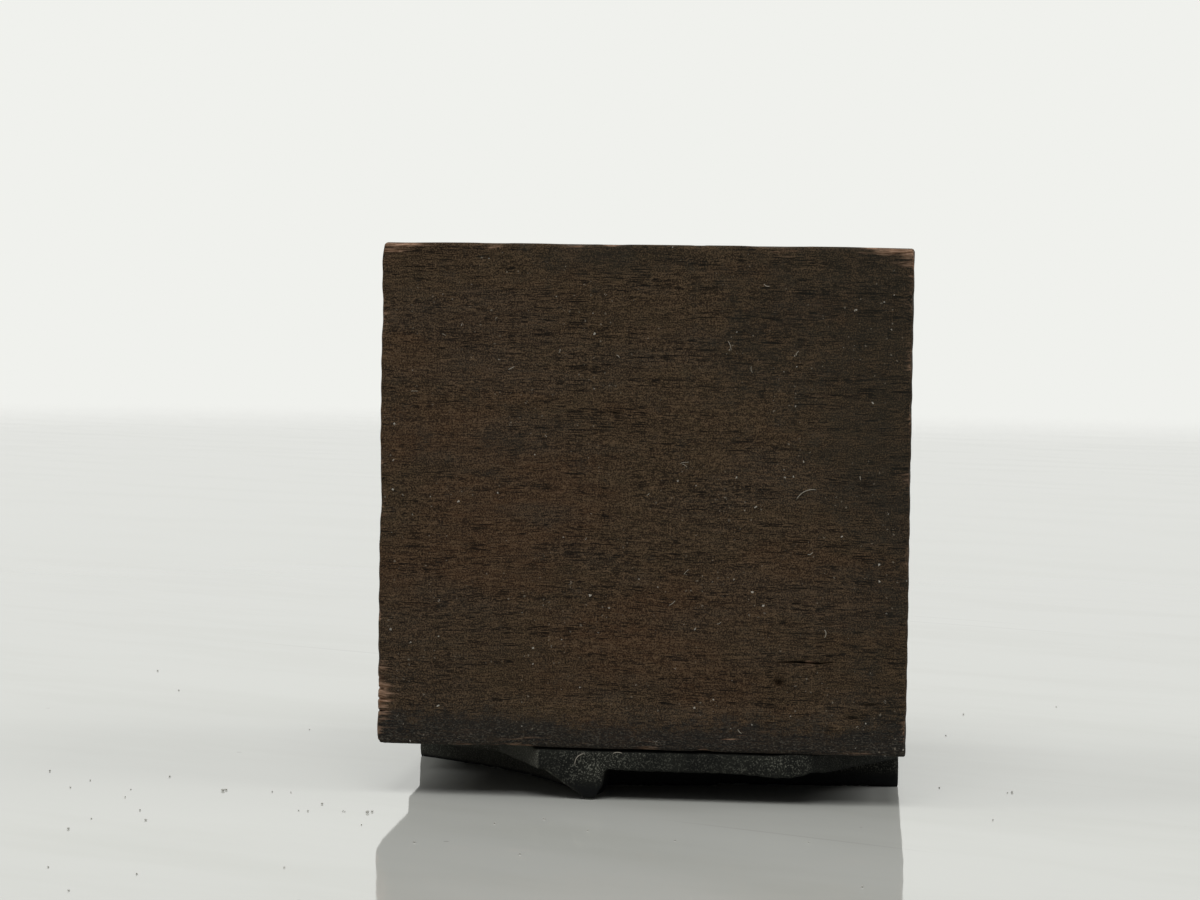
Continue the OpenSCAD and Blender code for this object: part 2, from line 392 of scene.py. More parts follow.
# Where the dark skin is worn off the front's arrises, and the pale wood shows
rawSpots = [
    {"x": 10.3, "z": 23.35, "size": (1.4, 0.6, 0.34), "depth": 0.04, "raw": 1.05},
    {"x": 11.0, "z": 23.2, "size": (0.75, 0.6, 0.6), "depth": 0.05, "raw": 1.15},
    {"x": 11.15, "z": 22.4, "size": (0.25, 0.5, 0.7), "depth": 0.02, "raw": 0.8},
    {"x": -10.7, "z": 23.3, "size": (1, 0.5, 0.34), "depth": 0.1, "raw": 1.9},
    {"x": -11.1, "z": 20.9, "size": (0.16, 0.4, 0.3), "depth": 0.02, "raw": 0.5},
    {"x": 11.15, "z": 16.7, "size": (0.16, 0.4, 0.22), "depth": 0.1, "raw": 0.3},
    {"x": -11.15, "z": 4.3, "size": (0.6, 0.6, 1.1), "depth": 0.03, "raw": 1.3},
    {"x": -11.15, "z": 2.9, "size": (0.3, 0.4, 0.5), "depth": 0, "raw": 0.7},
    {"x": -11.15, "z": 2.2, "size": (0.16, 0.5, 0.12), "depth": 0.08, "raw": 0.2},
    {"x": -7.3, "z": 2.2, "size": (0.85, 0.3, 0.06), "depth": 0.03, "raw": 0.8},
    {"x": -2.9, "z": 23.32, "size": (0.3, 0.4, 0.07), "depth": 0.04, "raw": 0.7},
    {"x": -1.4, "z": 23.32, "size": (0.4, 0.4, 0.08), "depth": 0.05, "raw": 0.8},
    {"x": 4.8, "z": 23.32, "size": (0.4, 0.4, 0.07), "depth": 0.04, "raw": 0.6},
    {"x": 3.75, "z": 2.72, "size": (0.32, 0.3, 0.045), "depth": 0.03, "raw": 1.1},
    {"x": 4.2, "z": 2.9, "size": (0.22, 0.3, 0.04), "depth": 0.03, "raw": 1.1},
    {"x": 7.2, "z": 5.93, "size": (0.5, 0.3, 0.035), "depth": 0, "raw": 0.6},
]


def meshLines(low, high, step, radius, extra=()):
    # Where the mesh is cut: close together round both edges, even between, and at the extra places
    arc = radius * np.array([0, 0.1, 0.25, 0.42, 0.6, 0.8, 1])
    count = round((high - low - 2 * radius) / step)
    even = np.linspace(low + radius, high - radius, count + 1)
    return np.unique(np.round(np.concatenate([low + arc, even, high - arc, extra]), 4))


def boxSkin(xLines, yLines, zLines):
    # The surface points of a box lattice, and the faces between them
    grid = np.stack(np.meshgrid(xLines, yLines, zLines, indexing="ij"), axis=-1)
    shape = grid.shape[:3]
    onSkin = np.zeros(shape, bool)
    for axis, places in enumerate(np.indices(shape)):
        onSkin |= (places == 0) | (places == shape[axis] - 1)
    number = np.full(shape, -1)
    number[onSkin] = np.arange(onSkin.sum())
    faces = []
    for axis in range(3):
        for end in (0, -1):
            side = number.take(end, axis=axis)
            corners = [side[:-1, :-1], side[1:, :-1], side[1:, 1:], side[:-1, 1:]]
            quads = np.stack(corners, axis=-1).reshape(-1, 4)
            outward = (end == -1) != (axis == 1)
            faces.append(quads if outward else quads[:, ::-1])
    return grid[onSkin], np.concatenate(faces).tolist()


# Grain sizes are the length along the grain and the width across it. Fibres, speckle and grit are finer
# than this in the real wood, and are drawn as coarse as they need to show.
woodGrain = {
    "driftSize": 12.5,
    "patchSize": (9, 3),
    "greySize": (7, 2.2),
    "streakSize": (3, 0.14),
    "fibreSize": (0.38, 0.045),
    "speckleSize": 0.06,
    "grimeSize": 1.111,
    "rowSize": (7, 0.5),
    "longPoreSize": (1.35, 0.055),
    "shortPoreSize": (0.5, 0.046),
    "gritSize": (0.11, 0.05),
    "pith": (-42, 9),
    "ringStep": 1.7,
    "sawMarkSize": (1, 7, 0.3),
    "tornSize": (1.3, 0.12),
    "cutPores": {"spacing": 0.26, "widest": 0.1, "chosen": 0.1},
    "pits": {"spacing": 0.17, "widest": 0.06, "chosen": 0.1},
    "faintSpecks": {"spacing": 0.22, "widest": 0.05, "chosen": 0.2},
    "brightSpecks": {"spacing": 0.4, "widest": 0.058, "chosen": 0.3},
    "clusterSize": 2.222,
    "unevenSize": 0.07,
    "unevenBy": 0.17,
    "brown": "#4a3626",
    "olive": "#403628",
    "greyBrown": "#3b352d",
    "streak": "#251b13",
    "paleFibre": "#715c47",
    "pore": "#090604",
    "coolStain": "#232420",
    "ink": "#1a1c1d",
    "grit": "#6f6a60",
    "rawWood": ("#5f4430", "#b09079"),
    "faintDust": "#9d9384",
    "brightDust": "#d6d0c4",
}


def planedHardwood():
    # Close-grained hardwood, sawn, planed and dark with age and ink: fine dark pores along the grain,
    # slow changes from brown to olive, grey where ink soaked in, pale wood on worn arrises, and dust
    material, add, place = newMaterial("planedHardwood")
    look = woodGrain
    drift = add("TexNoise", {"Vector": place, "Scale": 1 / look["driftSize"], "Detail": 2})
    drift = add("MapRange", [drift, 0, 1, -0.5, 0.5], interpolation_type="LINEAR")
    along = add("VectorMath", [place, add("CombineXYZ", [0, drift, drift])], operation="ADD")

    def grain(size, detail, low, high, first=0, last=1):
        # Noise drawn out along the grain, sharpened to run from first to last
        scaled = add("VectorMath", [along, (size[0], size[1], size[1])], operation="DIVIDE")
        noise = add("TexNoise", {"Vector": scaled, "Scale": 1, "Detail": detail, "Roughness": 0.62})
        return add("MapRange", [noise, low, high, first, last])

    def cells(size):
        # Cells drawn out along the grain: a random number for each, and the distance to its middle
        scaled = add("VectorMath", [along, (size[0], size[1], size[1])], operation="DIVIDE")
        cellNode = add("TexVoronoi", {"Vector": scaled, "Scale": 1}).node
        return add("SeparateColor", [cellNode.outputs["Color"]]), cellNode.outputs["Distance"]

    def painted(name, breaking):
        # A stain or wear that is painted on the mesh, with its edge broken up
        paint = add("Attribute", attribute_name=name).node.outputs["Fac"]
        return add("Math", [paint, breaking], operation="ADD")

    uneven = add("TexNoise", {"Vector": place, "Scale": 1 / look["unevenSize"], "Detail": 2})
    uneven = add("VectorMath", [uneven.node.outputs["Color"], look["unevenBy"]], operation="SCALE")
    uneven = add("VectorMath", [place, uneven], operation="ADD")
    clusters = add("TexNoise", {"Vector": place, "Scale": 1 / look["clusterSize"], "Detail": 2})
    clusters = add("MapRange", [clusters, 0.36, 0.62, 0.35, 1])

    def dots(spacing, widest, chosen):
        # Uneven dots in loose clusters: how far apart, how wide at most, and the share left out
        cellNode = add("TexVoronoi", {"Vector": uneven, "Scale": 1 / spacing}).node
        chance = add("SeparateColor", [cellNode.outputs["Color"]])
        width = add("MapRange", [chance, chosen, 1, 0, widest / spacing])
        width = add("Math", [width, clusters])
        inside = add("Math", [width, cellNode.outputs["Distance"]], operation="SUBTRACT")
        return add("MapRange", [inside, 0, 0.02 / spacing, 0, 1])

    grime = add("TexNoise", {
        "Vector": place, "Scale": 1 / look["grimeSize"], "Detail": 8, "Roughness": 0.75})
    grime = add("MapRange", [grime, 0.25, 0.75, -0.6, 0.6], interpolation_type="LINEAR")
    warm = painted("warm", grain(look["patchSize"], 4, 0.35, 0.65, -0.45, 0.45))
    greyer = grain(look["greySize"], 3, 0.45, 0.62, 0, 0.8)
    streaks = grain(look["streakSize"], 3, 0.4, 0.62)
    fibres, _ = cells(look["fibreSize"])
    speckle = add("TexNoise", {
        "Vector": place, "Scale": 1 / look["speckleSize"], "Detail": 2, "Roughness": 0.7})
    warm = add("MapRange", [warm, 0.1, 0.9, 0, 1])
    tint = add("Mix", [warm, colour(look["olive"]), colour(look["brown"])])
    tint = add("Mix", [greyer, tint, colour(look["greyBrown"])])
    tint = add("Mix", [add("Math", [streaks, 0.38]), tint, colour(look["streak"])])
    tint = add("Mix", [add("MapRange", [fibres, 0.5, 1, 0, 0.42]), tint, colour(look["paleFibre"])])
    tint = add("Mix", [add("MapRange", [fibres, 0.5, 0, 0, 0.65]), tint, colour(look["streak"])])
    tint = add("Mix", [add("MapRange", [speckle, 0.5, 0.36, 0, 0.92]), tint, colour(look["streak"])])
    tint = add("Mix", [add("MapRange", [speckle, 0.5, 0.66, 0, 0.74]), tint, colour(look["paleFibre"])])

    # Growth rings are arcs on the sawn ends, and hardly show on the planed sides
    sawn = add("Attribute", attribute_name="sawn").node.outputs["Fac"]
    pithY, pithZ = look["pith"]
    fromPith = add("VectorMath", [along, (0, pithY, pithZ)], operation="SUBTRACT")
    ringScale = math.pi / 10 / look["ringStep"]  # at a scale of 1, rings are pi / 10 apart
    rings = add(
        "TexWave",
        {"Vector": fromPith, "Scale": ringScale, "Distortion": 3.2, "Detail": 2, "Detail Scale": 0.35},
        wave_type="RINGS", rings_direction="X", wave_profile="SAW")
    rings = add("MapRange", [rings, 0.45, 1, 0, 1])
    rings = add("Math", [rings, add("MapRange", [sawn, 0, 1, 0.1, 0.42])])
    rings = add("Math", [rings, add("MapRange", [drift, -0.2, 0.2, 0.5, 1])])
    tint = add("Mix", [rings, tint, colour(look["streak"])])
    sawMarks = add("VectorMath", [place, look["sawMarkSize"]], operation="DIVIDE")
    sawMarks = add("TexNoise", {"Vector": sawMarks, "Scale": 1, "Detail": 3})
    sawMarks = add("Math", [add("MapRange", [sawMarks, 0.38, 0.62, 0, 1]), sawn])
    tint = add("Mix", [add("MapRange", [sawMarks, 0, 1, 0, 0.4]), tint, colour(look["streak"])])

    # Pores are cut lengthwise into short dark dashes, in rows along the growth rings
    rows = grain(look["rowSize"], 2, 0.38, 0.6, 0.45, 1)

    def dashes(size, widest):
        chance, distance = cells(size)
        width = add("MapRange", [chance, 0.1, 1, 0, widest], interpolation_type="LINEAR")
        inside = add("Math", [add("Math", [width, rows]), distance], operation="SUBTRACT")
        return add("MapRange", [inside, 0, 0.06, 0, 1])

    pores = add("Math", [dashes(look["longPoreSize"], 0.46), dashes(look["shortPoreSize"], 0.5)],
                operation="MAXIMUM")
    # The crack and the splits are painted as dark as the pores: painted shade inside the clefts
    pores = add("Math", [pores, add("Attribute", attribute_name="cleft").node.outputs["Fac"]],
                operation="MAXIMUM")
    for pits, strength in ((look["cutPores"], sawn), (look["pits"], 0.75)):
        pores = add("Math", [pores, add("Math", [dots(**pits), strength])], operation="MAXIMUM")
    tint = add("Mix", [add("Math", [pores, 0.92]), tint, colour(look["pore"])])

    cool = add("MapRange", [painted("cool", grime), 0.1, 1, 0, 0.5])
    tint = add("Mix", [cool, tint, colour(look["coolStain"])])
    inked = painted("ink", grime)
    tint = add("Mix", [add("MapRange", [inked, 0.2, 0.9, 0, 0.75]), tint, colour(look["ink"])])
    grit = grain(look["gritSize"], 1, 0.5, 0.7, 0, 0.36)
    grit = add("Math", [grit, inked], use_clamp=True)
    tint = add("Mix", [grit, tint, colour(look["grit"])])
    raw = painted("raw", grain(look["tornSize"], 3, 0.3, 0.7, -0.4, 0.4))
    bare = add("Mix", [fibres, *[colour(tone) for tone in look["rawWood"]]])
    tint = add("Mix", [add("MapRange", [raw, 0.25, 1.2, 0, 0.9]), tint, bare])

    faint = dots(**look["faintSpecks"])
    bright = dots(**look["brightSpecks"])
    tint = add("Mix", [add("Math", [faint, 0.5]), tint, colour(look["faintDust"])])
    tint = add("Mix", [add("Math", [bright, 0.75]), tint, colour(look["brightDust"])])

    height = add("Math", [pores, -0.04])
    heights = [(fibres, 0.012), (speckle, 0.03), (grit, 0.02), (faint, 0.015), (bright, 0.03),
               (sawMarks, -0.03)]
    for part, rise in heights:
        height = add("Math", [height, add("Math", [part, rise])], operation="ADD")
    bump = add("Bump", {"Strength": 0.8, "Distance": mm, "Height": height})
    dull = add("MapRange", [fibres, 0, 1, 0.65, 0.82])
    surface = add("BsdfPrincipled", {
        "Base Color": tint, "Roughness": dull, "IOR": 1.45, "Specular IOR Level": 0.12, "Normal": bump})
    add("OutputMaterial", [surface])
    return material


def woodLattice(low, high):
    radius, crack, pit = woodBlock["arrisRadius"], woodBlock["crack"], woodBlock["pit"]
    fine = np.array([-0.09, -0.045, 0, 0.045, 0.09])
    narrow = [spot["z"] for spot in rawSpots if spot["size"][2] < 0.05]
    fineZ = [crack["z"], pit["z"], *narrow, *[z for _, z, _ in woodBlock["splits"]]]
    fineZ = np.add.outer(fineZ, fine).ravel()
    xLines = meshLines(low[0], high[0], woodBlock["lineStep"], radius, pit["x"] + fine)
    yLines = meshLines(low[1], high[1], woodBlock["depthStep"], radius)
    zLines = meshLines(low[2], high[2], woodBlock["lineStep"], radius, fineZ)
    return boxSkin(xLines, yLines, zLines)


def roundArrises(points, low, high):
    # The points with the block's edges rounded unevenly, and which way each one faces
    change = bumpyNoise(points, 2.4, 1) * 0.6 + bumpyNoise(points, 0.8, 2) * 0.4
    lower = 1 - (1 - woodBlock["lowerArris"]) * (1 - softStep(points[:, 2], low[2] + 0.3, low[2] + 3))
    radius = ((woodBlock["arrisRadius"] + woodBlock["arrisChange"] * change) * lower)[:, None]
    inner = np.clip(points, low + radius, high - radius)
    normal = points - inner
    normal /= np.linalg.norm(normal, axis=1)[:, None]
    return inner + normal * radius, normal


def addKnocks(points, low, high):
    # Nicks along the edges and dents in the sides: how deep they go, and how bare they leave the wood
    nicks, dents = woodBlock["nicks"], woodBlock["dents"]
    random = np.random.default_rng(woodBlock["seed"])
    depth, raw = np.zeros((2, len(points)))
    middle = (low + high) / 2
    half = (high - low) / 2
    for i in range(nicks["count"]):
        axis = i % 3
        side = random.choice([-1, 1], 3)
        side[axis] = 0
        along = np.zeros(3)
        along[axis] = random.uniform(-0.96, 0.96)
        centre = middle + half * (side + along)
        size = np.full(3, random.uniform(*nicks["size"]))
        size[axis] *= random.uniform(*nicks["stretch"])
        near = nearness(points, centre, size)
        depth += random.uniform(*nicks["depth"]) * near
        raw = np.maximum(raw, random.uniform(*nicks["raw"]) * (1 if side[1] < 0 else 1.5) * near)
    for i in range(dents["count"]):
        axis = i % 3
        centre = middle + half * random.uniform(-0.92, 0.92, 3)
        centre[axis] = (low, high)[i // 3 % 2][axis]
        size = random.uniform(*dents["size"])
        depth += random.uniform(*dents["depth"]) * nearness(points, centre, size)
    return depth, raw


def openCracks(points, front):
    # The crack and the splits: how deep they go, how open they are, and how torn the crack's edge is
    crack = woodBlock["crack"]
    centre = (crack["x"], front, crack["z"])
    strayed = points.copy()
    strayed[:, 2] -= crack["wander"] * bumpyNoise(points, (0.5, 9, 9), 12)
    cleft = nearness(strayed, centre, (crack["length"] / 2, 0.5, crack["width"] / 2))
    gaps = crack["depth"] * cleft
    torn = nearness(strayed, centre, (crack["length"] / 2, 0.5, 0.12))
    torn *= 0.9 * softStep(bumpyNoise(points, (0.25, 9, 9), 13), -0.1, 0.5)
    for x, z, length in woodBlock["splits"]:
        near = nearness(strayed, (x, front, z), (length / 2, 0.4, woodBlock["splitWidth"] / 2))
        cleft = np.maximum(cleft, near)
        gaps = np.maximum(gaps, woodBlock["splitDepth"] * near)
    return gaps, cleft, torn


def softPatches(points, depth, patches):
    return sum(strength * nearness(points, (x, depth, z), size) for x, z, size, strength in patches)


def cutWood():
    low, high = nodeBox("wood_block")
    front = low[1]
    points, faces = woodLattice(low, high)
    shaped, normal = roundArrises(points, low, high)
    onEnds = softStep(np.abs(normal[:, 0]), 0.6, 0.95)

    # Planed and worn a little hollow, ridged along the grain, and sawn on the ends
    depth = woodBlock["waviness"] * (0.5 + 0.5 * bumpyNoise(points, 4.5, 3))
    depth *= 1 - 0.9 * softStep(-normal[:, 2], 0.7, 1)
    depth -= woodBlock["ridgeHeight"] * bumpyNoise(points, woodBlock["ridgeSize"], 4)
    sawTrack = points[:, 2] + 0.012 * (points[:, 1] - 4) ** 2
    sawMarks = np.sin(2 * np.pi * sawTrack / woodBlock["sawStep"] + 2 * bumpyNoise(points, 5, 10))
    depth += woodBlock["sawMarks"] * (0.5 + 0.5 * sawMarks) * onEnds

    knocked, raw = addKnocks(points, low, high)
    arris = softStep(np.sort(np.abs(normal), axis=1)[:, 1], 0.15, 0.6)
    raw = np.maximum(raw, 0.4 * arris * softStep(bumpyNoise(points, 1.6, 6), 0.2, 0.9))
    for spot in rawSpots:
        near = nearness(points, (spot["x"], front, spot["z"]), spot["size"])
        knocked += spot["depth"] * near
        raw = np.maximum(raw, spot["raw"] * near)
    gaps, cleft, torn = openCracks(points, front)
    raw = np.maximum(raw, torn)
    pit = woodBlock["pit"]
    hollow = pit["depth"] * nearness(points, (pit["x"], front, pit["z"]), (pit["size"], 0.5, pit["size"]))
    shaped -= normal * (depth + knocked + gaps + hollow)[:, None]
    shaped = np.clip(shaped, low + woodBlock["inset"], high - woodBlock["inset"])

    x, y, z = points.T
    spot = woodBlock["inkSpot"]
    smudges = spot["ink"] * nearness(points, (spot["x"], front, spot["z"]), spot["size"])
    for centre, size, strength in woodBlock["smudges"]:
        smudges = np.maximum(smudges, strength * nearness(points, centre, size))
    inkEdge = low[2] + woodBlock["inkHeight"] + 0.35 * bumpyNoise(points, (4, 4, 1.5), 7)
    cool = 0.7 * softStep(x, 4, 11) + 0.3 * softStep(z, 16, 23)
    cool += softPatches(points, front, woodBlock["coolPatches"])
    warm = softPatches(points, 0, woodBlock["warmPatches"])
    wood = newPiece("woodMount", shaped, faces, planedHardwood(), "wood_block")
    giveAttribute(wood, "ink", np.maximum(smudges, 1 - softStep(z, inkEdge - 0.7, inkEdge + 0.9)))
    # cleft marks the crack and the splits, which the material paints dark as shade
    giveAttribute(wood, "cleft", cleft)
    giveAttribute(wood, "warm", warm + 0.25 * bumpyNoise(points, 6, 9) + 0.15)
    giveAttribute(wood, "cool", cool + 0.35 * bumpyNoise(points, 5, 8))
    giveAttribute(wood, "raw", raw)
    giveAttribute(wood, "sawn", onEnds)
    return wood


wood = cutWood()
print("wood mount made:", len(wood.data.vertices), "points")


# Cast plate with the raised design, nailed under the wood
plate = {
    "roughVoxel": 0.1,
    "voxel": 0.085,
    "shoulderSlope": 0.17,
    "smoothing": 3,
    "castBumps": 0.012,
    "routerMarks": 0.012,
    "routerStep": 0.42,
    "gap": {"x": (-4.65, 6.4), "height": 0.085},
    "lip": {"x": 5.9, "width": 1.1, "drop": 0.13},
    "bandEnd": {"x": 7.35, "width": 0.45, "lift": 0.16},
    "toe": {"x": -1.35, "height": 0.7, "taper": 0.3},
    # Where dust lies on the front edge: x, z, size and strength
    "dustPatches": [
        (-2, 1.35, (1.1, 1, 0.55), 1.3),
        (5.9, 1.8, (1, 1, 0.4), 0.8),
        (-0.8, 1.9, (1.8, 1, 0.35), 0.6),
    ],
}


def meshArrays(mesh):
    points = np.empty(len(mesh.vertices) * 3)
    mesh.vertices.foreach_get("co", points)
    normals = np.empty(len(mesh.vertices) * 3)
    mesh.vertices.foreach_get("normal", normals)
    return points.reshape(-1, 3), normals.reshape(-1, 3)


def reworked(mesh, *modifiers):
    # The mesh after some modifiers, each a kind and its settings
    piece = bpy.data.objects.new("working", mesh)
    bpy.context.scene.collection.objects.link(piece)
    for kind, settings in modifiers:
        modifier = piece.modifiers.new(kind, kind)
        for name, value in settings.items():
            setattr(modifier, name, value)
    scene = bpy.context.evaluated_depsgraph_get()
    made = bpy.data.meshes.new_from_object(piece.evaluated_get(scene))
    bpy.data.objects.remove(piece)
    return made


metalLook = {
    "grainSize": 0.06,
    "patchSize": 1.3,
    "wearSize": 0.7,
    "skin": ("#121312", "#1c1d1a"),
    "grain": "#343530",
    "rubbed": "#4a4942",
    "dust": "#7c7c72",
    "ink": "#0b0c0d",
    "bare": "#8d8d88",
}


def castTypeMetal():
    # Lead alloy, cast, routed and nailed down: a dull dark skin with a dusty grain, black ink in the
    # hollows and a little bare grey metal on what stands proud.
    # Walls in the wood's shade are painted a paler grey as painted light, through the dust and a separate
    # painted wall light
    material, add, place = newMaterial("castTypeMetal")
    look = metalLook
    # Crystals and grit are finer than this on the real plate; they are drawn as coarse as shows
    grit = add("TexNoise", {
        "Vector": place, "Scale": 1 / look["grainSize"], "Detail": 2, "Roughness": 0.6})
    patches = add("TexNoise", {
        "Vector": place, "Scale": 1 / look["patchSize"], "Detail": 6, "Roughness": 0.65})
    skin = [colour(tone) for tone in look["skin"]]
    tint = add("Mix", [add("MapRange", [patches, 0.36, 0.64, 0, 1]), *skin])
    # The dust attribute holds real dust, and also painted light on plate walls shaded under the wood
    dustAndPaintedLight = add("Attribute", attribute_name="dust").node.outputs["Fac"]
    haze = add("Math", [dustAndPaintedLight, add("MapRange", [patches, 0.3, 0.7, 0.1, 0.5])])
    # Painted light: the plate's left wall, in the wood's shade, is mixed towards a paler grey
    rubbed = add("Attribute", attribute_name="rubbed").node.outputs["Fac"]
    rubbed = add("Math", [rubbed, add("MapRange", [patches, 0.25, 0.75, 0.55, 1])])
    tint = add("Mix", [haze, tint, colour(look["grain"])])
    tint = add("Mix", [rubbed, tint, colour(look["rubbed"])])
    dustAndPaintedLight = add("Math", [add("MapRange", [grit, 0.5, 0.7, 0, 1]), dustAndPaintedLight], use_clamp=True)
    tint = add("Mix", [dustAndPaintedLight, tint, colour(look["dust"])])
    inked = add("Attribute", attribute_name="ink").node.outputs["Fac"]
    inked = add("Math", [inked, add("MapRange", [patches, 0.3, 0.55, 0.75, 1])])
    tint = add("Mix", [inked, tint, colour(look["ink"])])
    wear = add("TexNoise", {
        "Vector": place, "Scale": 1 / look["wearSize"], "Detail": 6, "Roughness": 0.75})
    wear = add("MapRange", [wear, 0.25, 0.75, -0.5, 0.5], interpolation_type="LINEAR")
    bare = add("Attribute", attribute_name="bare").node.outputs["Fac"]
    bare = add("MapRange", [add("Math", [bare, wear], operation="ADD"), 0.4, 0.62, 0, 0.85])
    bare = add("Math", [bare, add("MapRange", [grit, 0.35, 0.6, 0.45, 1])])
    tint = add("Mix", [bare, tint, colour(look["bare"])])
    height = add("Math", [add("Math", [grit, 0.04]), add("Math", [patches, 0.05])], operation="ADD")
    bump = add("Bump", {"Strength": 0.7, "Distance": mm, "Height": height})
    dull = add("MapRange", [inked, 0, 1, 0.75, 0.6])
    dull = add("Math", [dull, add("Math", [bare, 0.25])], operation="SUBTRACT")
    surface = add("BsdfPrincipled", {
        "Base Color": tint, "Metallic": add("Math", [bare, 0.9]), "Roughness": dull,
        "Specular IOR Level": 0.1, "Normal": bump})
    add("OutputMaterial", [surface])
    return material


def castForm(low, high, flange):
    # The CAD's plate with shoulders that slope outward from the printing face to the flange
    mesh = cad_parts["printing_plate"].data.copy()
    points, _ = meshArrays(mesh)
    mesh.vertices.foreach_set("co", (points / mm).ravel())
    mesh.update()
    mesh = reworked(mesh, ("REMESH", {"mode": "VOXEL", "voxel_size": plate["roughVoxel"]}))
    points, normals = meshArrays(mesh)
    onWall = (points[:, 2] < flange - 0.02) & (np.abs(normals[:, 2]) < 0.75)
    push = plate["shoulderSlope"] * np.maximum(points[:, 2], 0) * onWall
    points[:, :2] += normals[:, :2] * push[:, None]
    points = np.clip(points, low, high)
    mesh.vertices.foreach_set("co", points.ravel())
    mesh.update()
    return reworked(
        mesh,
        ("REMESH", {"mode": "VOXEL", "voxel_size": plate["voxel"]}),
        ("SMOOTH", {"factor": 0.5, "iterations": plate["smoothing"]}),
    )


def frontWear(points, low, high):
    # How far each point of the front has moved: its edge sags off the wood a little, its lower lip
    # bulges, its right end rounds off, and the toe tapers
    x, y, z = points.T
    front = softStep(low[1] + 1.2 - y, 0, 1)
    gap, lip, end, toe = plate["gap"], plate["lip"], plate["bandEnd"], plate["toe"]
    sag = softStep(x, gap["x"][0], gap["x"][0] + 0.35)
    sag *= 1 - softStep(x, gap["x"][1] - 0.8, gap["x"][1])
    drop = gap["height"] * sag * front * softStep(z, high[2] - 0.4, high[2] - 0.1)
    underside = front * softStep(z, 0.9, 1.15) * (1 - softStep(z, 1.3, 1.8))
    drop += lip["drop"] * underside * np.exp(-((x - lip["x"]) / lip["width"]) ** 2)
    drop -= end["lift"] * underside * np.exp(-((x - end["x"]) / end["width"]) ** 2)
    drawn = softStep(x, toe["x"] - 0.9, toe["x"]) * (1 - softStep(x, toe["x"] + 0.5, toe["x"] + 0.8))
    drawn *= softStep(low[1] + 2.2 - y, 0, 1) * (1 - softStep(z, 0, toe["height"]))
    return np.column_stack([-toe["taper"] * drawn, 0 * drop, -drop])


def castPlate():
    low, high = nodeBox("printing_plate")
    flange = nodeBox("brad_left")[0][2]
    mesh = castForm(low, high, flange)
    points, normals = meshArrays(mesh)
    x, y, z = points.T
    lift = bumpyNoise(points, 0.3, 21) + 1.6 * bumpyNoise(points, 1.4, 22)
    lift *= plate["castBumps"] * softStep(z, 0.02, 0.3)
    onFlange = softStep(z, flange - 0.1, flange - 0.02) * softStep(-normals[:, 2], 0.6, 0.9)
    across = x * 0.82 + y * 0.57 + 0.5 * bumpyNoise(points, 4, 23)
    lift += plate["routerMarks"] * onFlange * np.sin(2 * np.pi * across / plate["routerStep"])
    shaped = np.clip(points + normals * lift[:, None] + frontWear(points, low, high), low, high)
    faces = [polygon.vertices[:] for polygon in mesh.polygons]
    piece = newPiece("printingPlate", shaped, faces, castTypeMetal(), "printing_plate")

    facesDown = softStep(-normals[:, 2], 0.4, 0.9)
    printing = facesDown * (1 - softStep(z, 0.03, 0.1))
    facesFront = softStep(-normals[:, 1], 0.3, 0.8)
    frontBand = facesFront * softStep(low[1] + 0.5 - y, 0, 0.3)
    patches = softPatches(shaped, low[1], plate["dustPatches"])
    dust = frontBand * (0.25 + 0.55 * patches) + 0.15 * bumpyNoise(shaped, 0.7, 24)
    # Front-facing walls set back from the front band get a dusty grey that is partly painted light,
    # lightening walls shaded under the wood
    dust = np.maximum(dust, 0.5 * facesFront * (1 - frontBand)) * softStep(z, 0.3, 0.9)
    # The long wall at the left of the front is shaded under the wood and is painted a paler grey there as
    # painted light
    leftWall = softStep(-normals[:, 0], 0.15, 0.4) * softStep(-normals[:, 1], 0, 0.3)
    leftWall *= softStep(low[1] + 13 - y, 0, 1.5) * (1 - softStep(x, -3, -2)) * softStep(z, 0.02, 0.2)
    rubbed = leftWall * (0.7 + 0.3 * softStep(y - low[1], 1, 4)) * (1 - 0.5 * softStep(y - low[1], 6, 11))
    inked = printing + 0.7 * facesDown * (1 - onFlange) + 1 - softStep(z, 0.35, 0.95)
    # Painted light: on the left wall the dust is raised and the ink cut back, to lighten the wood's shade
    # there
    giveAttribute(piece, "dust", np.maximum(dust, 0.6 * leftWall))
    giveAttribute(piece, "rubbed", rubbed)
    giveAttribute(piece, "ink", np.clip(inked, 0, 1) * (1 - 0.85 * leftWall))
    giveAttribute(piece, "bare", printing * softStep(bumpyNoise(shaped, 1.8, 25), -0.3, 0.7))
    return piece


metal = castPlate()
print("printing plate made:", len(metal.data.vertices), "points")


# Wire brads, with heads set by a hammer
brads = {
    "turns": 40,
    # The head's outline, from its middle: shares of its radius and of the dome's height
    "headOutline": [(0.3, 0.05), (0.55, 0.16), (0.75, 0.38), (0.9, 0.72), (0.98, 1.15), (1, 1.8),
                    (0.985, 2.8), (0.93, 3.5), (0.78, 3.85)],
    "headDome": 0.09,
    "wireShare": 0.61,
    "pointLength": 1.5,
    "markDepth": 0.02,
    "spotSize": 0.3125,
    "steel": "#5c5852",
    "rust": "#2a201a",
    "seed": 31,
}


